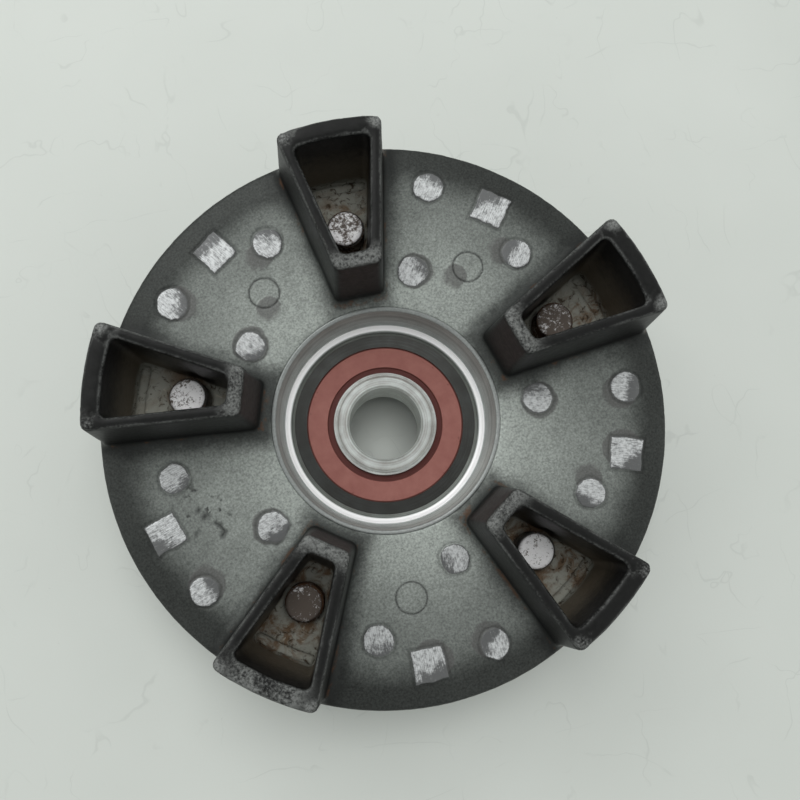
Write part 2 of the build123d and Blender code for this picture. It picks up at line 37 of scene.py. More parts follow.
DOG_COUNT = 5
SECTOR = 360 / DOG_COUNT
DISC_FACE_Z = 24.0
DISC_RADIUS = 75.5
HOLLOW_FLOOR_Z = 21.0
STUD_CIRCLE = 52.0
STUD_TOP_Z = 28.4
STUD_END_Z = -21.0
THREAD_RADIUS = 5.0
THREAD_DEPTH = 0.77
THREAD_PITCH = 1.25
RECESS_OUTER = 30.4
RECESS_CUT_Z = 6.0
RECESS_CUTTER = ((0.001, RECESS_CUT_Z), (RECESS_OUTER, RECESS_CUT_Z), (RECESS_OUTER, 30.0), (0.001, 30.0))
TOOL_MARKS = 24
SLOPE_START = 69.5
SLOPE_DROP = 0.9
DOG_INNER_END = 35.0
DOG_FOOT_HALF = 6.8
DOG_FOOT_FLARE = 0.209
DOG_CORNER = (70.5, 12.0)
SCUFFED_RIM = (-42.0, -58.0)

# Casting skin: mesh fineness and the depth of its wear, in mm
WELD = 0.002
VOXEL = 0.45
KEPT_SHARE = 0.085
REFINE_ROUNDS = 5
FACE_EDGE = 2.2
MARK_EDGE = 0.5
PIN_REACH = 6.4
SQUARE_REACH = 7.4
RING_REACH = 5.4
NOISE_TABLE = 65536
CAST_WAVE = 0.05
CAST_GRAIN = 0.02
FLOOR_RIPPLE = 0.35
NICK_DEPTH = 0.3
PAD_RAGGED = 0.35
PAD_HEIGHT = 0.36
PAD_SLANT = 0.14
TROUGH_DEPTH = 0.12
GHOST_HEIGHT = 0.12
RING_DEPTH = 0.25
RING_HALF_WIDTH = 0.22
PIT_DEPTH = 0.3

# Studs
THREAD_STEPS = 6
THREAD_SIDES = 40
STUD_THREAD_START = 19.5
STUD_EATEN = (0.5, 0.7, 0.3, 0.76, 0.4)

# Ejector marks in each sector: radius, angle from the sector's middle, size of the mark
PIN_PADS = ((41.0, 13.85, 4.1), (64.9, 13.6, 4.1), (57.6, -14.2, 4.1))
SQUARE_PAD = (64.7, -2.4, 4.3)
WITNESS_RING = (47.2, -4.2, 4.1)
WITNESS_SECTORS = (0, 2, 4)
PITTED_SECTOR = (3,)

# Dull marks beside the bright ones: the mark, its shift outwards and along, the sectors with it
GHOSTS = (
    ((57.6, -14.2, 3.7), (-0.8, 4.0), (0, 1, 4)),
    ((47.2, -4.2, 3.2), (-3.6, 2.2), (0, 4)),
    ((41.0, 13.85, 4.9), (0.5, -0.5), (0, 1, 3, 4)),
    ((64.9, 13.6, 4.7), (-1.3, -1.2), (1, 2, 3, 4)),
    ((64.7, -2.4, 5.2), (-1.2, 1.4), (1, 2)),
)


# ---- Node material helper -----------------------------------------------------------------


class Field:
    """A value that varies over a surface: one output socket of a material's node tree."""

    def __init__(self, shader, socket):
        self.shader = shader
        self.socket = socket

    def __add__(self, other):
        return self.shader.math("ADD", self, other)

    __radd__ = __add__

    def __sub__(self, other):
        return self.shader.math("SUBTRACT", self, other)

    def __rsub__(self, other):
        return self.shader.math("SUBTRACT", other, self)

    def __mul__(self, other):
        return self.shader.math("MULTIPLY", self, other)

    __rmul__ = __mul__

    def __truediv__(self, other):
        return self.shader.math("DIVIDE", self, other)


class Shader:
    """Builds one material's node tree. Lengths are in millimetres of object space."""

    def __init__(self, name):
        self.material = bpy.data.materials.new(name)
        self.material.use_nodes = True
        self.tree = self.material.node_tree
        self.tree.nodes.clear()
        coordinates = self.tree.nodes.new("ShaderNodeTexCoord")
        self.normal = Field(self, coordinates.outputs["Normal"])
        scaled = self.tree.nodes.new("ShaderNodeVectorMath")
        scaled.operation = "SCALE"
        scaled.inputs["Scale"].default_value = 1 / MM
        self.tree.links.new(coordinates.outputs["Object"], scaled.inputs[0])
        self.place = Field(self, scaled.outputs[0])
        self.x, self.y, self.z = self.split(self.place)

    def feed(self, socket, value):
        """Joins a field to an input socket, or sets the socket to a constant."""
        if isinstance(value, Field):
            self.tree.links.new(value.socket, socket)
        elif value is not None:
            socket.default_value = value

    def node(self, kind, output, *values, **settings):
        node = self.tree.nodes.new(kind)
        for name, setting in settings.items():
            setattr(node, name, setting)
        for socket, value in zip(node.inputs, values):
            self.feed(socket, value)
        return Field(self, node.outputs[output])

    def math(self, operation, a, b=None, c=None, clamp=False):
        return self.node("ShaderNodeMath", 0, a, b, c, operation=operation, use_clamp=clamp)

    def painted(self, name):
        """A number kept in the mesh for each vertex."""
        return self.node("ShaderNodeAttribute", "Fac", attribute_name=name)

    def split(self, vector):
        node = self.tree.nodes.new("ShaderNodeSeparateXYZ")
        self.feed(node.inputs[0], vector)
        return [Field(self, socket) for socket in node.outputs]

    def join(self, x, y, z):
        return self.node("ShaderNodeCombineXYZ", 0, x, y, z)

    def low(self, a, b):
        return self.math("MINIMUM", a, b)

    def high(self, a, b):
        return self.math("MAXIMUM", a, b)

    def size(self, x, y):
        return self.math("SQRT", x * x + y * y)

    def step(self, value, start, end):
        """A smooth step from 0 at start to 1 at end; end may be below start."""
        node = self.tree.nodes.new("ShaderNodeMapRange")
        node.interpolation_type = "SMOOTHSTEP"
        self.feed(node.inputs["Value"], value)
        flipped = end < start
        node.inputs["From Min"].default_value = min(start, end)
        node.inputs["From Max"].default_value = max(start, end)
        node.inputs["To Min"].default_value = 1.0 if flipped else 0.0
        node.inputs["To Max"].default_value = 0.0 if flipped else 1.0
        return Field(self, node.outputs["Result"])

    def band(self, value, start, end, soft):
        """1 between start and end, fading to 0 over a soft edge outside them."""
        return self.step(value, start - soft, start) * self.step(value, end + soft, end)

    def noise(self, grain, detail=2.0, roughness=0.5, vector=None, warp=0.0):
        """Noise from 0 to 1 with features about grain mm wide."""
        node = self.tree.nodes.new("ShaderNodeTexNoise")
        self.feed(node.inputs["Vector"], vector or self.place)
        node.inputs["Scale"].default_value = 1 / grain
        node.inputs["Detail"].default_value = detail
        node.inputs["Roughness"].default_value = roughness
        node.inputs["Distortion"].default_value = warp
        return Field(self, node.outputs["Fac"])

    def cells(self, grain, vector=None, feature="F1"):
        """Distance to the nearest of many scattered points, grain mm apart, in units of grain."""
        node = self.tree.nodes.new("ShaderNodeTexVoronoi")
        node.feature = feature
        self.feed(node.inputs["Vector"], vector or self.place)
        node.inputs["Scale"].default_value = 1 / grain
        return Field(self, node.outputs["Distance"])

    def mix(self, factor, a, b):
        """Colour a where factor is 0, b where it is 1."""
        node = self.tree.nodes.new("ShaderNodeMix")
        node.data_type = "RGBA"
        self.feed(node.inputs[0], factor)
        self.feed(node.inputs[6], a)
        self.feed(node.inputs[7], b)
        return Field(self, node.outputs[2])

    def blend(self, factor, a, b):
        """Number a where factor is 0, b where it is 1."""
        node = self.tree.nodes.new("ShaderNodeMix")
        node.data_type = "FLOAT"
        self.feed(node.inputs[0], factor)
        self.feed(node.inputs[2], a)
        self.feed(node.inputs[3], b)
        return Field(self, node.outputs[0])

    def bump(self, height, depth, normal=None):
        """Surface normal of a height field from 0 to 1, depth mm deep."""
        node = self.tree.nodes.new("ShaderNodeBump")
        node.inputs["Strength"].default_value = 1.0
        node.inputs["Distance"].default_value = depth * MM
        self.feed(node.inputs["Height"], height)
        if normal is not None:
            self.feed(node.inputs["Normal"], normal)
        return Field(self, node.outputs[0])

    def finish(self, **values):
        """Principled surface; keywords are its sockets, with underscores for spaces."""
        surface = self.tree.nodes.new("ShaderNodeBsdfPrincipled")
        for name, value in values.items():
            self.feed(surface.inputs[name.replace("_", " ")], value)
        output = self.tree.nodes.new("ShaderNodeOutputMaterial")
        self.tree.links.new(surface.outputs[0], output.inputs["Surface"])
        return self.material


def grey(value, tint=(1.0, 1.0, 1.0)):
    """A colour of one brightness, slightly tinted."""
    return (value * tint[0], value * tint[1], value * tint[2], 1.0)


# ---- Materials ----------------------------------------------------------------------------

COOL = (0.94, 1.0, 0.97)
WARM = (1.04, 1.0, 0.93)


def sector_place(s):
    """Local x (outwards) and y (anticlockwise) in the sector between two dogs."""
    turn = s.math("ARCTAN2", s.y, s.x) * (180 / math.pi / SECTOR) - 90 / SECTOR
    angle = (s.math("FRACT", turn + 10) - 0.5) * math.radians(SECTOR)
    r = s.size(s.x, s.y)
    return r, r * s.math("COSINE", angle), r * s.math("SINE", angle)


def dog_place(s):
    """Local x (outwards) and y (anticlockwise) about the nearest dog."""
    turn = s.math("ARCTAN2", s.y, s.x) * (180 / math.pi / SECTOR) - 90 / SECTOR
    angle = (s.math("FRACT", turn + 10.5) - 0.5) * math.radians(SECTOR)
    r = s.size(s.x, s.y)
    return r * s.math("COSINE", angle), r * s.math("SINE", angle)


def cast_aluminium():
    """Dark satin casting: worn grey disc with a painted sheen towards the hub and painted shade at the
    dogs' feet, black dogs with rubbed rims and a painted highlight along their edges, rusty hollows and
    bright ground pads.
    """
    s = Shader("cast_aluminium")
    r, sx, sy = sector_place(s)
    dx, dy = dog_place(s)
    nz = s.split(s.normal)[2]

    fine = s.noise(0.55, 3, 0.65)
    grain = s.noise(1.3, 3, 0.6)
    mottle = s.noise(9.0, 4, 0.6)
    cloud = s.noise(30.0, 3, 0.55)

    # Disc: grey, lighter towards the hub and darker towards the rim, partly wear and partly a painted sheen
    # of the overhead light; smoother outside the dampers' reach
    wobble = (mottle - 0.5) * 5
    reach = s.step(r + wobble, 60, 71)
    hub_wear_and_sheen = s.step(r + wobble * 2, 62, 30)
    # The rim darkening and the hub lightening here are partly wear and partly a painted sheen of the
    # overhead light
    disc = s.blend(reach, s.blend(hub_wear_and_sheen, 0.21, 0.40), 0.045)
    disc = disc * (0.1 + 1.8 * fine) * (0.6 + 0.8 * cloud)
    disc_colour = s.join(disc * 0.94, disc * 1.02, disc * 0.95)

    # Dogs: near-black, lighter and speckled where the rim is rubbed, and along the rim's rounded edge,
    # where the lightening is partly a painted highlight
    side = s.math("ABSOLUTE", dy)
    outline = side - (5.8 + 7.6 / 36.35 * (dx - 35.0))
    outside = s.high(outline, s.high(33.5 - dx, -20.0))
    # Painted shade: the disc darkens within about 7.5 mm of each dog's foot
    foot_shade = s.step(outside + (grain - 0.5) * 3 + (cloud - 0.5) * 8, 7.5, 1.2)
    up = s.step(s.z + (mottle - 0.5) * 1.5, 24.9, 26.5)
    black = 0.003 + 0.007 * fine
    rim = s.step(s.z, 50.6, 51.7)
    scuffed = s.step(s.size(s.x - SCUFFED_RIM[0], s.y - SCUFFED_RIM[1]) + mottle * 6, 17, 9)
    corner = s.step(s.size(dx - DOG_CORNER[0], side - DOG_CORNER[1]) + grain * 2, 4.2, 1.8)
    inner_end = s.step(dx + (mottle - 0.5) * 8, 41.5, 37.0)
    # A band on the rim's rounded edge, partly edge wear and partly a painted highlight line
    edge = s.band(s.z, 51.0, 51.6, 0.3)
    rubbed = s.high(s.high(scuffed * 0.8, corner * 0.9), s.high(inner_end * 0.75, edge * 0.4))
    rim_rub_and_highlight = rim * rubbed * s.step(fine * 0.6 + mottle * 0.6, 0.46, 0.76)
    dog = s.blend(rim, black, 0.004 + 0.008 * grain)
    dog = s.blend(rim_rub_and_highlight * 0.9, dog, 0.25)
    dog_colour = s.join(dog * 0.96, dog, dog * 0.96)

    # Near the dogs' feet the disc is mixed towards dark grey as painted shade
    body_colour = s.mix(up, s.mix(foot_shade * 0.85, disc_colour, grey(0.02, COOL)), dog_colour)
    foot_rust = s.band(outside, 0.3, 1.5, 0.9) * s.band(s.z, 23.0, 25.2, 0.8)
    foot_rust = foot_rust * s.step(s.noise(7, 4, 0.7), 0.53, 0.63)
    body_colour = s.mix(foot_rust * 0.6, body_colour, (0.13, 0.06, 0.028, 1))

    # Hollows: brown rusty floors
    inward = (0 - outline)
    hollow = s.step(inward, 2.2, 3.6) * s.band(s.z, 18.0, 49.0, 1.2)
    hollow = hollow * s.step(dx, 36, 39) * s.step(r, 70, 67.5)
    floor = hollow * s.step(s.z + (mottle - 0.5) * 3, 24.5, 21.6)
    rust = s.step(s.noise(5.0, 5, 0.7, warp=0.6), 0.42, 0.62)
    crust = s.noise(2.4, 5, 0.7, warp=0.8)
    earth = s.mix(rust * s.step(cloud, 0.38, 0.58), (0.27, 0.275, 0.24, 1), (0.14, 0.095, 0.06, 1))
    earth = s.mix(s.step(crust, 0.52, 0.66), earth, (0.05, 0.036, 0.024, 1))
    earth = s.mix(s.step(crust, 0.4, 0.28), earth, (0.38, 0.36, 0.29, 1))
    dusty = s.step(s.z + (crust - 0.5) * 14, 46, 26) * s.blend(s.step(dx, 54, 62), rust * 0.3, 0.85)
    hollow_colour = s.mix(floor, s.mix(dusty, grey(0.009), (0.17, 0.14, 0.1, 1)), earth)
    body_colour = s.mix(hollow, body_colour, hollow_colour)

    # Ejector marks: ground flat and bright, with dull ghosts and dark outlines
    ground, ghost, line = s.painted("ground"), s.painted("ghost"), s.painted("line")
    scratch = s.noise(0.22, 3, 0.6, s.join(sx * 0.12, sy, s.z))
    chalk = s.noise(0.8, 4, 0.7)
    pads = s.step(ground, 0.12, 0.3)
    shine = s.step(chalk * 0.5 + scratch * 0.5 + ground * 0.4, 0.70, 1.0)
    pad_value = s.blend(shine, 0.15, 0.72)
    pad_colour = s.join(pad_value * 0.97, pad_value, pad_value)
    body_colour = s.mix(ghost * 0.7, body_colour, s.mix(fine, grey(0.08, WARM), grey(0.15)))
    body_colour = s.mix(line * 0.85, body_colour, grey(0.02))
    body_colour = s.mix(pads, body_colour, pad_colour)

    # Underside machined faces: sprocket seat, pilot and hub end
    seat = s.band(s.z, -0.1, 0.1, 0.1) * s.band(r, 39.5, 46.2, 0.2)
    pilot = s.step(s.z, 0.1, -0.1) * s.step(r, 38.5, 39.2) * s.step(s.math("ABSOLUTE", nz), 0.6, 0.3)
    end = s.step(s.z, -12.0, -12.4) * s.step(r, 32, 31.5)
    machined = s.high(seat, s.high(pilot, end)) * s.step(s.noise(14, 3, 0.6), 0.2, 0.4)
    turned = s.noise(0.35, 2, 0.5, s.join(r, s.z, 0.0))
    turned_colour = s.mix(turned, grey(0.35), grey(0.6))
    body_colour = s.mix(machined, body_colour, turned_colour)

    bare = s.high(pads, machined)
    metal = s.blend(bare, s.blend(s.high(up, hollow), 0.5, 0.15), 0.5)
    rough = s.blend(s.high(up, hollow), s.blend(reach, 0.5 + 0.12 * fine, 0.42), 0.36 + 0.2 * grain)
    rough = s.blend(floor, rough, 0.75)
    rough = s.blend(bare, rough, 0.42)
    height = fine * 0.6 + grain * 0.4
    normal = s.bump(height, 0.05)
    normal = s.bump(s.blend(pads, 0.5, scratch), 0.08, normal)
    return s.finish(
        Base_Color=body_colour, Metallic=metal, Roughness=rough, Normal=normal, Specular_IOR_Level=0.3
    )


def turned_aluminium():
    """Bearing recess: turned walls with a bright burnished chamfer, whose near-white colour is partly a
    painted reflection of the lights.
    """
    s = Shader("turned_aluminium")
    r = s.size(s.x, s.y)
    # Chamfer: bare metal coloured near-white with little metallic, partly a painted reflection of the
    # lights
    chamfer = s.band(s.z, 12.15, 13.35, 0.12) * s.band(r, 25.9, 27.6, 0.1)
    rings = s.noise(0.3, 3, 0.7, s.join(r * 1.5, s.z * 1.5, 0.0))
    mottle = s.noise(7.0, 4, 0.6)
    wall = s.mix(s.step(rings * 0.8 + mottle * 0.2, 0.35, 0.65), grey(0.24, COOL), grey(0.62, COOL))
    top = s.step(s.z, 22.9, 23.6)
    face = s.mix(s.noise(0.55, 3, 0.65), grey(0.2, COOL), grey(0.5, COOL))
    colour = s.mix(chamfer, s.mix(top, wall, face), grey(0.97))
    rough = s.blend(chamfer, 0.42, 0.4)
    metal = s.blend(chamfer, 0.6, 0.25)
    normal = s.bump(rings, 0.03)
    return s.finish(Base_Color=colour, Metallic=metal, Roughness=rough, Normal=normal)


def stud_steel():
    """Zinc-plated studs with rust in the thread and a corroded end."""
    s = Shader("stud_steel")
    speck = s.noise(0.9, 5, 0.75, warp=0.4)
    patch = s.noise(4.5, 3, 0.6)
    eaten = s.step(speck * 0.7 + patch * 0.35 + s.painted("eaten") * 0.35, 0.66, 0.76)
    end = s.step(s.z, STUD_TOP_Z - 1.0, STUD_TOP_Z - 0.3)
    clean = s.mix(end, grey(0.3, WARM), grey(0.85))
    dirt = s.mix(end, (0.09, 0.05, 0.03, 1), (0.12, 0.1, 0.085, 1))
    colour = s.mix(eaten, clean, dirt)
    metal = s.blend(eaten, s.blend(end, 0.9, 0.3), 0.2)
    rough = s.blend(eaten, 0.35, 0.75)
    normal = s.bump(speck, 0.12)
    return s.finish(Base_Color=colour, Metallic=metal, Roughness=rough, Normal=normal)


def ground_steel(name, light, dark, rough, swirl, metal):
    """Ground bearing steel with fine circular lines and faint handling marks."""
    s = Shader(name)
    r = s.size(s.x, s.y)
    lines = s.noise(0.45, 3, 0.7, s.join(r, s.z, s.noise(18, 2, 0.5) * 0.6))
    smudge = s.noise(5.0, 4, 0.65)
    colour = s.mix(s.step(s.blend(0.35, lines, smudge), 0.3, 0.7), grey(dark, WARM), grey(light, COOL))
    roughness = s.blend(smudge, rough * 0.8, rough * 1.25)
    normal = s.bump(lines, swirl)
    return s.finish(Base_Color=colour, Metallic=metal, Roughness=roughness, Normal=normal)


def plain_steel(name, value, rough):
    """Pressed or drawn steel with a light grain."""
    s = Shader(name)
    grain = s.noise(0.4, 4, 0.65)
    stain = s.noise(4.0, 4, 0.6)
    colour = s.mix(stain, grey(value * 0.7, WARM), grey(value * 1.2))
    normal = s.bump(grain, 0.02)
    roughness = s.blend(grain, rough * 0.8, rough * 1.2)
    return s.finish(Base_Color=colour, Metallic=1.0, Roughness=roughness, Normal=normal)


def seal_rubber():
    """Moulded red-brown nitrile, dusty, with dark nicks near its outer edge."""
    s = Shader("seal_rubber")
    r = s.size(s.x, s.y)
    dust = s.noise(3.0, 4, 0.6)
    grain = s.noise(0.35, 3, 0.6)
    colour = s.mix(dust, (0.19, 0.062, 0.052, 1), (0.30, 0.13, 0.108, 1))
    nick = s.step(s.noise(1.1, 4, 0.7), 0.62, 0.68) * s.step(r, 20.2, 21.2)
    lip = s.high(s.step(r, 16.2, 15.7), s.step(r, 21.35, 21.5) * 0.7)
    colour = s.mix(s.high(nick, lip * 0.85), colour, (0.045, 0.006, 0.005, 1))
    normal = s.bump(grain, 0.03)
    rough = s.blend(dust, 0.42, 0.6)
    return s.finish(Base_Color=colour, Roughness=rough, Normal=normal)


def black_rubber():
    """Black nitrile with a grey bloom."""
    s = Shader("dust_rubber")
    bloom = s.noise(5.0, 4, 0.6)
    grain = s.noise(0.35, 3, 0.6)
    colour = s.mix(bloom, grey(0.012), grey(0.035))
    return s.finish(Base_Color=colour, Roughness=s.blend(bloom, 0.45, 0.65), Normal=s.bump(grain, 0.03))


def table_top():
    """Pale painted bench with fine scratches, specks and faint stains."""
    s = Shader("table_top")
    haze = s.noise(60, 3, 0.5)
    speck = s.step(s.noise(1.6, 4, 0.7), 0.69, 0.76)
    bend = s.noise(25, 3, 0.6)
    hair = s.math("ABSOLUTE", s.noise(18, 1.5, 0.5, s.join(s.x, s.y * 0.35, bend * 20)) - 0.5)
    crack = s.math("ABSOLUTE", s.noise(24, 1.5, 0.5, s.join(s.x * 0.3, s.y, bend * 30 + 9)) - 0.5)
    fade = s.step(s.noise(17, 2, 0.5), 0.46, 0.62)
    lines = s.high(s.step(hair, 0.006, 0.001), s.step(crack, 0.006, 0.001)) * fade
    paint = s.mix(haze, (0.51, 0.54, 0.505, 1), (0.57, 0.6, 0.565, 1))
    colour = s.mix(lines * 0.16, paint, (0.25, 0.27, 0.25, 1))
    colour = s.mix(speck * 0.25, colour, (0.2, 0.21, 0.2, 1))
    normal = s.bump(s.noise(0.8, 3, 0.6), 0.02)
    return s.finish(Base_Color=colour, Roughness=s.blend(haze, 0.5, 0.62), Normal=normal)


# ---- Mesh helpers -------------------------------------------------------------------------


def new_object(name, mesh, material):
    """A smooth-shaded object with one material, linked to the scene."""
    mesh.materials.clear()
    mesh.materials.append(material)
    mesh.shade_smooth()
    thing = bpy.data.objects.new(name, mesh)
    bpy.context.scene.collection.objects.link(thing)
    return thing


def lathe(name, outline, material, segments):
    """A closed ring of revolution about +Z from an (r, z) outline in mm, in order."""
    mesh = bpy.data.meshes.new(name)
    build = bmesh.new()
    rings = []
    for step in range(segments):
        turn = 2 * math.pi * step / segments
        c, d = math.cos(turn) * MM, math.sin(turn) * MM
        rings.append([build.verts.new((r * c, r * d, z * MM)) for r, z in outline])
    count = len(outline)
    for step in range(segments):
        here, there = rings[step], rings[(step + 1) % segments]
        for k in range(count):
            build.faces.new((here[k], there[k], there[(k + 1) % count], here[(k + 1) % count]))
    bmesh.ops.recalc_face_normals(build, faces=build.faces)
    build.to_mesh(mesh)
    build.free()
    return new_object(name, mesh, material)


def bake_modifiers(thing):
    """Replaces a mesh by what its modifiers make of it."""
    graph = bpy.context.evaluated_depsgraph_get()
    final = bpy.data.meshes.new_from_object(thing.evaluated_get(graph))
    thing.modifiers.clear()
    thing.data = final


def read_points(mesh):
    points = np.zeros(len(mesh.vertices) * 3)
    mesh.vertices.foreach_get("co", points)
    return points.reshape(-1, 3) / MM


def write_points(mesh, points):
    mesh.vertices.foreach_set("co", (points * MM).ravel())
    mesh.update()


def read_normals(mesh):
    normals = np.zeros(len(mesh.vertices) * 3)
    mesh.vertices.foreach_get("normal", normals)
    return normals.reshape(-1, 3)


def write_field(mesh, name, values):
    """Keeps a number for each vertex, for the material to read."""
    mesh.attributes.new(name, "FLOAT", "POINT").data.foreach_set("value", values.astype(np.float32))


def smooth_step(value, start, end):
    share = np.clip((value - start) / (end - start), 0, 1)
    return share * share * (3 - 2 * share)


def lattice_noise(points, grain, seed):
    """Smooth noise from -1 to 1 at many points, with features about grain mm wide."""
    values = np.random.default_rng(seed).uniform(-1, 1, NOISE_TABLE)
    cell = np.floor(points / grain).astype(np.int64)
    share = points / grain - cell
    share = share * share * (3 - 2 * share)
    total = np.zeros(len(points))
    for corner in np.ndindex(2, 2, 2):
        key = (cell + corner) @ np.array([73856093, 19349663, 83492791])
        weight = np.prod(np.where(corner, share, 1 - share), axis=1)
        total += weight * values[np.mod(key ^ (key >> 13), NOISE_TABLE)]
    return total


def rough_noise(points, grain, seed):
    """Three octaves of lattice noise."""
    total = lattice_noise(points, grain, seed)
    total += 0.5 * lattice_noise(points, grain / 2, seed + 1)
    return (total + 0.25 * lattice_noise(points, grain / 4, seed + 2)) / 1.4


def sector_frame(points):
    """Radius, local x (outwards), local y (anticlockwise) and number of each point's sector."""
    turn = (np.degrees(np.arctan2(points[:, 1], points[:, 0])) - 90) / SECTOR
    whole = np.floor(turn)
    angle = np.radians((turn - whole - 0.5) * SECTOR)
    radius = np.hypot(points[:, 0], points[:, 1])
    return radius, radius * np.cos(angle), radius * np.sin(angle), (-1 - whole) % DOG_COUNT


def polar(radius, degrees):
    return radius * math.cos(math.radians(degrees)), radius * math.sin(math.radians(degrees))


# ---- Carrier casting ----------------------------------------------------------------------


def casting_skin(node, material):
    """The carrier's CAD shape with softened cast edges, its bearing recess left out."""
    mesh = node.data.copy()
    build = bmesh.new()
    build.from_mesh(mesh)
    bmesh.ops.remove_doubles(build, verts=build.verts, dist=WELD * MM)
    build.to_mesh(mesh)
    build.free()
    skin = new_object("carrier_casting", mesh, material)
    cutter = lathe("cutter", RECESS_CUTTER, material, 192)
    cut = skin.modifiers.new("recess", "BOOLEAN")
    cut.operation = "DIFFERENCE"
    cut.solver = "EXACT"
    cut.object = cutter
    bake_modifiers(skin)
    bpy.data.objects.remove(cutter)
    cells = skin.modifiers.new("skin", "REMESH")
    cells.mode = "VOXEL"
    cells.voxel_size = VOXEL * MM
    soften = skin.modifiers.new("soften", "SMOOTH")
    soften.factor = 0.5
    soften.iterations = 2
    bake_modifiers(skin)
    wear_casting(skin)
    thin = skin.modifiers.new("thin", "DECIMATE")
    thin.ratio = KEPT_SHARE
    bake_modifiers(skin)
    return skin


def refine(mesh, wanted, length):
    """Splits edges longer than a length, in mm, where the function wanted says so."""
    build = bmesh.new()
    build.from_mesh(mesh)
    for _ in range(REFINE_ROUNDS):
        edges = list(build.edges)
        middles = np.array([(e.verts[0].co + e.verts[1].co) / 2 for e in edges]) / MM
        lengths = np.array([e.calc_length() for e in edges]) / MM
        chosen = np.flatnonzero(wanted(middles) & (lengths > length))
        if not len(chosen):
            break
        bmesh.ops.subdivide_edges(build, edges=[edges[k] for k in chosen], cuts=1, use_grid_fill=False)
        bmesh.ops.triangulate(build, faces=[f for f in build.faces if len(f.verts) > 3])
    build.to_mesh(mesh)
    build.free()


def wear_casting(skin):
    """Uneven cast surface, rippled hollow floors and nicks at the dogs' rims."""
    mesh = skin.data
    points, normals = read_points(mesh), read_normals(mesh)
    radius = np.hypot(points[:, 0], points[:, 1])
    across, beside = dog_frame(points)
    z = points[:, 2]
    machined = (z < 0.3) | (radius < RECESS_OUTER + 0.5)
    shift = np.where(machined, 0.0, CAST_WAVE * rough_noise(points, 5.0, 11))
    shift += np.where(machined, 0.0, CAST_GRAIN * lattice_noise(points, 1.4, 15))
    floor = (np.abs(z - HOLLOW_FLOOR_Z) < 2.2) & (normals[:, 2] > 0.3) & (radius > 38) & (radius < 69)
    shift += floor * FLOOR_RIPPLE * rough_noise(points * (1, 1, 0.3), 3.2, 21)
    corner = np.hypot(across - DOG_CORNER[0], np.abs(beside) - DOG_CORNER[1])
    knocks = smooth_step(rough_noise(points, 1.8, 31), 0.12, 0.42)
    rim = smooth_step(z, 50.4, 51.4)
    shift -= rim * knocks * (0.05 + NICK_DEPTH * smooth_step(corner, 6.5, 1.5))
    write_points(mesh, np.clip(points + normals * shift[:, None], points.min(0), points.max(0)))


def dog_frame(points):
    """Local x (outwards) and y (anticlockwise) about the nearest dog."""
    turn = (np.degrees(np.arctan2(points[:, 1], points[:, 0])) - 90) / SECTOR + 0.5
    angle = np.radians((turn - np.floor(turn) - 0.5) * SECTOR)
    radius = np.hypot(points[:, 0], points[:, 1])
    return radius * np.cos(angle), radius * np.sin(angle)


def dog_gap(points):
    """How far a point on the disc face lies outside the nearest dog's foot."""
    across, beside = dog_frame(points)
    foot = DOG_FOOT_HALF + DOG_FOOT_FLARE * (across - DOG_INNER_END)
    return np.maximum(np.abs(beside) - foot, DOG_INNER_END - 1.0 - across)


def on_disc_face(points):
    """Is a point on the flat of the disc face?"""
    return (np.abs(points[:, 2] - DISC_FACE_Z) < 1.2) & (dog_gap(points) > 1.0)


def near_marks(points):
    """Is a point on the disc face close to an ejector mark or a witness ring?"""
    _, x, y, _ = sector_frame(points)
    near = np.zeros(len(points), bool)
    places = [(pad[:2], PIN_REACH) for pad in PIN_PADS]
    places += [(SQUARE_PAD[:2], SQUARE_REACH), (WITNESS_RING[:2], RING_REACH)]
    for place, reach in places:
        cx, cy = polar(*place)
        near |= np.hypot(x - cx, y - cy) < reach
    return near & (np.abs(points[:, 2] - DISC_FACE_Z) < 0.9)


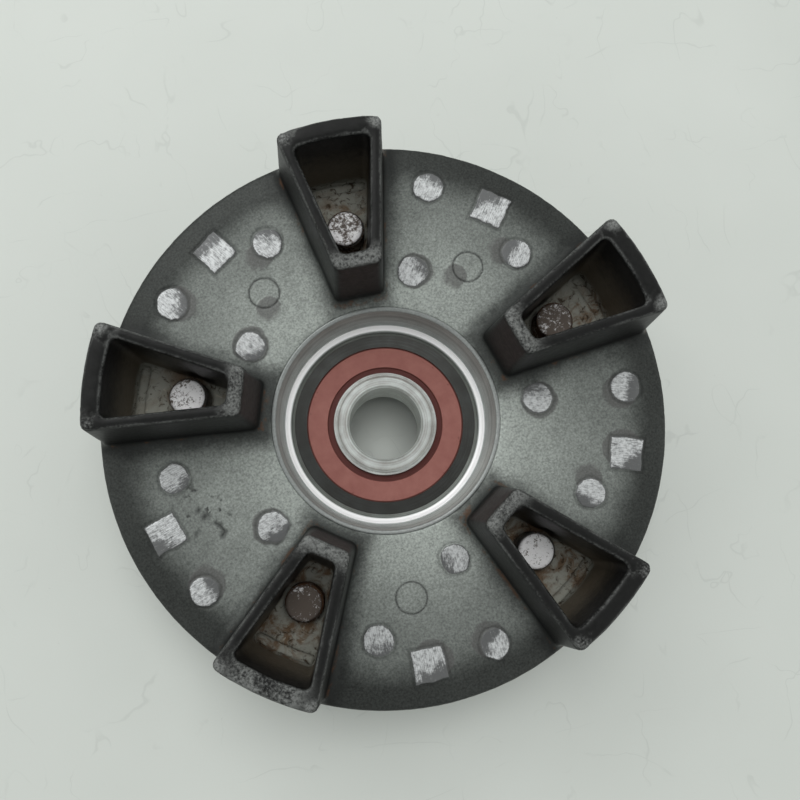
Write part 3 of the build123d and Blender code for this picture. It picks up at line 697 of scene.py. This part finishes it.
def stamp_marks(skin):
    """Ground ejector pads, their ghosts, and the thin rings, on the disc face."""
    mesh = skin.data
    points = read_points(mesh)
    radius, x, y, sector = sector_frame(points)
    chance = np.random.default_rng(7)
    flow = np.stack([points[:, 0], points[:, 1], np.zeros(len(points))], 1)
    px = x + PAD_RAGGED * rough_noise(flow, 2.6, 41)
    py = y + PAD_RAGGED * rough_noise(flow, 2.6, 51)
    height, ground, ghost, line = np.zeros((4, len(points)))
    shapes = [(*pad, False) for pad in PIN_PADS] + [(*SQUARE_PAD, True)]
    for r, angle, size, square in shapes:
        cx, cy = polar(r, angle)
        for number in range(DOG_COUNT):
            here = sector == number
            spread = size * chance.uniform(0.93, 1.04)
            lean = chance.uniform(0, 2 * math.pi)
            slant = ((px - cx) * math.cos(lean) + (py - cy) * math.sin(lean)) / size
            round_gap = np.hypot(px - cx, py - cy)
            square_gap = np.maximum(np.abs(px - cx), np.abs(py - cy))
            gap = (square_gap if square else round_gap) - spread
            inside = here * smooth_step(gap, 0.15, -0.2)
            rubbed = smooth_step(slant + 0.3 * rough_noise(flow, 1.5, 61), chance.uniform(0.5, 1.4), -0.1)
            height += inside * (PAD_HEIGHT - PAD_SLANT * np.clip(slant, -0.3, 1))
            trough = here * np.exp(-(((gap - 0.5) / 0.35) ** 2))
            height -= TROUGH_DEPTH * trough
            line += 0.45 * trough
            ground += inside * (0.35 + 0.65 * rubbed)
    for (r, angle, size), (out, along), sectors in GHOSTS:
        cx, cy = polar(r, angle)
        gap = np.hypot(px - cx - out, py - cy - along) - size
        inside = np.isin(sector, sectors) * smooth_step(gap, 0.15, -0.15) * (1 - np.clip(ground, 0, 1))
        height += GHOST_HEIGHT * inside
        ghost += inside
    cx, cy = polar(*WITNESS_RING[:2])
    off_ring = np.hypot(x - cx, y - cy) - WITNESS_RING[2]
    ring = np.isin(sector, WITNESS_SECTORS) * np.exp(-((off_ring / RING_HALF_WIDTH) ** 2))
    height -= RING_DEPTH * ring
    pit = np.isin(sector, PITTED_SECTOR) * smooth_step(np.hypot(x - 53.0, (y + 1.0) * 0.6), 7, 4)
    pits = pit * smooth_step(rough_noise(flow, 1.3, 71), 0.30, 0.48)
    height -= PIT_DEPTH * pits
    line += np.clip(ring + pits, 0, 1)
    plane = DISC_FACE_Z - SLOPE_DROP * np.clip((radius - SLOPE_START) / (DISC_RADIUS - SLOPE_START), 0, 1)
    flat = smooth_step(dog_gap(points), 3.4, 4.4)
    flat *= smooth_step(radius, 31.2, 32.2) * smooth_step(radius, 73.0, 72.0)
    flat *= np.abs(points[:, 2] - DISC_FACE_Z) < 1.2
    points[:, 2] += flat * (plane + height - points[:, 2] + CAST_WAVE * rough_noise(points, 5.0, 11))
    write_points(mesh, points)
    for name, values in (("ground", ground), ("ghost", ghost), ("line", line)):
        write_field(mesh, name, np.clip(values * flat, 0, 1))


def make_casting(node, material):
    skin = casting_skin(node, material)
    refine(skin.data, on_disc_face, FACE_EDGE)
    refine(skin.data, near_marks, MARK_EDGE)
    stamp_marks(skin)
    cad_points = read_points(node.data)
    write_points(skin.data, np.clip(read_points(skin.data), cad_points.min(0), cad_points.max(0)))
    skin.data.shade_smooth()
    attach(skin, "carrier")
    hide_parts("carrier")
    return skin


def make_recess(material):
    """The turned recess above the bearing, with tool marks and a rolled bright edge, its brightness partly
    a painted reflection.
    """
    outline = [(26.0, 12.0), (26.2, 12.06), (26.55, 12.2), (26.9, 12.42), (27.2, 12.7), (27.45, 13.02)]
    outline += [(27.55, 12.9), (27.72, 12.72), (27.88, 12.9), (27.92, 13.4)]
    for step in range(TOOL_MARKS):
        share = (step + 0.5) / TOOL_MARKS
        ripple = 0.03 if step % 2 else -0.03
        outline.append((27.95 + 1.25 * share + ripple, 13.6 + 9.7 * share))
    outline += [(29.25, 23.5), (29.4, 23.8), (29.65, 23.95), (30.0, 24.0), (RECESS_OUTER - 0.04, 24.0)]
    outline += [(RECESS_OUTER - 0.04, RECESS_CUT_Z + 0.05), (26.0, RECESS_CUT_Z + 0.05)]
    ring = lathe("carrier_recess", outline, material, 256)
    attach(ring, "carrier")
    return ring


# ---- Studs --------------------------------------------------------------------------------


def thread_radius(z, turn):
    """Radius of an M10 x 1.25 thread at a height and an angle in turns."""
    phase = (z / THREAD_PITCH - turn) % 1.0
    flank = abs(phase - 0.5) * 2
    return THREAD_RADIUS - THREAD_DEPTH * min(max((flank - 0.12) / 0.7, 0.0), 1.0)


def make_stud(number, eaten, material):
    """A threaded stud with chamfered ends and a corroded, slightly domed end face."""
    angle = math.radians(90 - SECTOR * (number - 1))
    centre = Vector((STUD_CIRCLE * math.cos(angle), STUD_CIRCLE * math.sin(angle), 0))
    step = THREAD_PITCH / THREAD_STEPS
    lower = np.arange(STUD_END_Z + 0.7, -0.3, step)
    upper = np.arange(STUD_THREAD_START, STUD_TOP_Z - 0.6, step)
    heights = [*lower, 0.0, *upper]
    mesh = bpy.data.meshes.new(f"stud_{number}_threaded")
    build = bmesh.new()

    def ring(z, radius_at):
        places = []
        for k in range(THREAD_SIDES):
            turn = k / THREAD_SIDES
            radius = radius_at(turn)
            x, y = radius * math.cos(2 * math.pi * turn), radius * math.sin(2 * math.pi * turn)
            places.append(build.verts.new((centre + Vector((x, y, z))) * MM))
        return places

    def face_ring(z, radius, grain):
        bumpy = ring(z, lambda turn: radius)
        for vert in bumpy:
            vert.co.z += grain * MM * noise.noise(vert.co / MM * 1.3)
        return bumpy

    rings = [face_ring(STUD_END_Z + 0.02, r, 0) for r in (0.4, 2.2, 4.1)]
    for z in heights:
        low, high = STUD_END_Z + 0.7 - z, z - (STUD_TOP_Z - 0.8)
        bevel = 1.3 * max(low, high, 0.0)
        rings.append(ring(z, lambda turn: thread_radius(z, turn) - bevel))
    rings += [face_ring(STUD_TOP_Z - 0.25, 4.45, 0.05), face_ring(STUD_TOP_Z - 0.09, 4.2, 0.06)]
    rings += [face_ring(STUD_TOP_Z - 0.06, r, 0.07) for r in (3.6, 2.9, 2.1, 1.3, 0.5)]
    for below, above in zip(rings, rings[1:]):
        for k in range(THREAD_SIDES):
            after = (k + 1) % THREAD_SIDES
            build.faces.new((below[k], below[after], above[after], above[k]))
    build.faces.new(list(reversed(rings[0])))
    build.faces.new(rings[-1])
    bmesh.ops.recalc_face_normals(build, faces=build.faces)
    build.to_mesh(mesh)
    build.free()
    stud = new_object(f"stud_{number}_threaded", mesh, material)
    write_field(mesh, "eaten", np.full(len(mesh.vertices), eaten))
    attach(stud, "carrier")
    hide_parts(f"stud_{number}")
    return stud


# ---- Scene --------------------------------------------------------------------------------

CAMERA_PLACE = (-0.01202, -0.02521, 0.27757)
CAMERA_ROLL = -12.31
CAMERA_PAN = -2.2566
CAMERA_TILT = 7.2521
CAMERA_LENS = 43.2
FLOOR_Z = -0.021
FLOOR_SIDE = 6.0
TENT_LIGHT = 0.46
TENT_SIDES = 0.45
TENT_FAR = 0.12
TENT_LOW = 0.55
TENT_OPENING = (0.93, 0.985)
TENT_OPENING_LIGHT = 0.12


def add_camera():
    lens = bpy.data.cameras.new("camera")
    lens.lens = CAMERA_LENS
    lens.sensor_width = 36.0
    lens.clip_start = 0.01
    camera = bpy.data.objects.new("camera", lens)
    turn = Matrix.Rotation(math.radians(CAMERA_ROLL), 4, "Z")
    turn @= Matrix.Rotation(math.radians(CAMERA_PAN), 4, "Y")
    turn @= Matrix.Rotation(math.radians(CAMERA_TILT), 4, "X")
    camera.matrix_world = Matrix.Translation(CAMERA_PLACE) @ turn
    bpy.context.scene.collection.objects.link(camera)
    bpy.context.scene.camera = camera
    return camera


def add_panel(name, azimuth, elevation, distance, width, height, power):
    """A soft light panel that faces the part. Azimuth is in the photograph's own picture plane."""
    lamp = bpy.data.lights.new(name, "AREA")
    lamp.shape = "RECTANGLE"
    lamp.size = width
    lamp.size_y = height
    lamp.energy = power
    panel = bpy.data.objects.new(name, lamp)
    a, e = math.radians(azimuth + CAMERA_ROLL), math.radians(elevation)
    away = Vector((math.cos(e) * math.cos(a), math.cos(e) * math.sin(a), math.sin(e)))
    panel.location = away * distance
    panel.rotation_euler = away.to_track_quat("Z", "Y").to_euler()
    bpy.context.scene.collection.objects.link(panel)
    return panel


def tent_light(world):
    """A soft light tent: bright sides, dimmer near the bench, a dark opening for the camera."""
    world.use_nodes = True
    tree = world.node_tree
    links = tree.links
    background = tree.nodes["Background"]

    def math_node(operation, a, b):
        node = tree.nodes.new("ShaderNodeMath")
        node.operation = operation
        for socket, value in zip(node.inputs, (a, b)):
            if isinstance(value, float):
                socket.default_value = value
            else:
                links.new(value, socket)
        return node.outputs[0]

    def ramp(value, low, high, start, end):
        node = tree.nodes.new("ShaderNodeMapRange")
        node.interpolation_type = "SMOOTHSTEP"
        links.new(value, node.inputs["Value"])
        for name, number in zip(("From Min", "From Max", "To Min", "To Max"), (low, high, start, end)):
            node.inputs[name].default_value = number
        return node.outputs["Result"]

    place = tree.nodes.new("ShaderNodeTexCoord")
    turn = tree.nodes.new("ShaderNodeMapping")
    turn.inputs["Rotation"].default_value = (0, 0, -math.radians(CAMERA_ROLL))
    links.new(place.outputs["Generated"], turn.inputs["Vector"])
    axes = tree.nodes.new("ShaderNodeSeparateXYZ")
    links.new(turn.outputs[0], axes.inputs[0])
    x, y, z = axes.outputs
    sides = math_node("MULTIPLY", math_node("MULTIPLY", x, x), TENT_SIDES)
    far = math_node("MULTIPLY", y, TENT_FAR)
    light = math_node("ADD", math_node("ADD", sides, far), TENT_LIGHT)
    light = math_node("MULTIPLY", light, ramp(z, 0.02, 0.45, TENT_LOW, 1.0))
    light = math_node("MULTIPLY", light, ramp(z, TENT_OPENING[0], TENT_OPENING[1], 1.0, TENT_OPENING_LIGHT))
    links.new(light, background.inputs["Strength"])
    background.inputs["Color"].default_value = (0.985, 1.0, 0.99, 1)


def add_studio():
    world = bpy.data.worlds.new("studio")
    tent_light(world)
    bpy.context.scene.world = world
    bpy.context.scene.view_settings.view_transform = "Standard"
    bpy.context.scene.view_settings.look = "None"
    add_panel("panel_far_left", 125, 50, 0.8, 0.5, 0.5, 1.3)
    above = add_panel("panel_above", 88, 81, 1.3, 0.6, 0.6, 9.5)
    above.visible_glossy = False
    mesh = bpy.data.meshes.new("floor")
    build = bmesh.new()
    bmesh.ops.create_grid(build, x_segments=8, y_segments=8, size=FLOOR_SIDE / 2)
    build.to_mesh(mesh)
    build.free()
    floor = new_object("floor", mesh, table_top())
    floor.location.z = FLOOR_Z


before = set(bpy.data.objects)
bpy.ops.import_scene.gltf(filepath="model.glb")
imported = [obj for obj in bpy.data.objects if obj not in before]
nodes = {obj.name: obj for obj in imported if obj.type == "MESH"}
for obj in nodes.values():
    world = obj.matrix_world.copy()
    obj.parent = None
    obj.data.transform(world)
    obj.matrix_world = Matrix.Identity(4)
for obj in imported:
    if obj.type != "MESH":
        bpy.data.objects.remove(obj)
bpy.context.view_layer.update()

steel_outer = ground_steel("bearing_outer_steel", 0.62, 0.45, 0.16, 0.006, 1.0)
steel_inner = ground_steel("bearing_inner_steel", 1.0, 0.42, 0.36, 0.05, 0.75)
steel_ball = ground_steel("ball_steel", 0.75, 0.6, 0.08, 0.001, 1.0)
steel_cage = plain_steel("cage_steel", 0.45, 0.35)
rubber_red = seal_rubber()
rubber_black = black_rubber()
spring = plain_steel("spring_steel", 0.5, 0.3)
stud_finish = stud_steel()
casting = cast_aluminium()

FINISHES = {
    "carrier": casting,
    "bearing_outer_ring": steel_outer,
    "bearing_inner_ring": steel_inner,
    "cage_wheel_side": steel_cage,
    "cage_sprocket_side": steel_cage,
    "cage_rivets": steel_cage,
    "seal_rubber_wheel_side": rubber_red,
    "seal_rubber_sprocket_side": rubber_red,
    "seal_core_wheel_side": steel_cage,
    "seal_core_sprocket_side": steel_cage,
    "dust_seal_rubber": rubber_black,
    "dust_seal_case": steel_cage,
    "dust_seal_spring": spring,
}

for name, node in nodes.items():
    finish = FINISHES.get(name)
    if name.startswith("ball_"):
        finish = steel_ball
    if name.startswith("stud_"):
        finish = stud_finish
    for slot in node.material_slots:
        slot.material = finish

make_casting(nodes["carrier"], casting)
make_recess(turned_aluminium())
for number, eaten in enumerate(STUD_EATEN, start=1):
    make_stud(number, eaten, stud_finish)

add_camera()
add_studio()
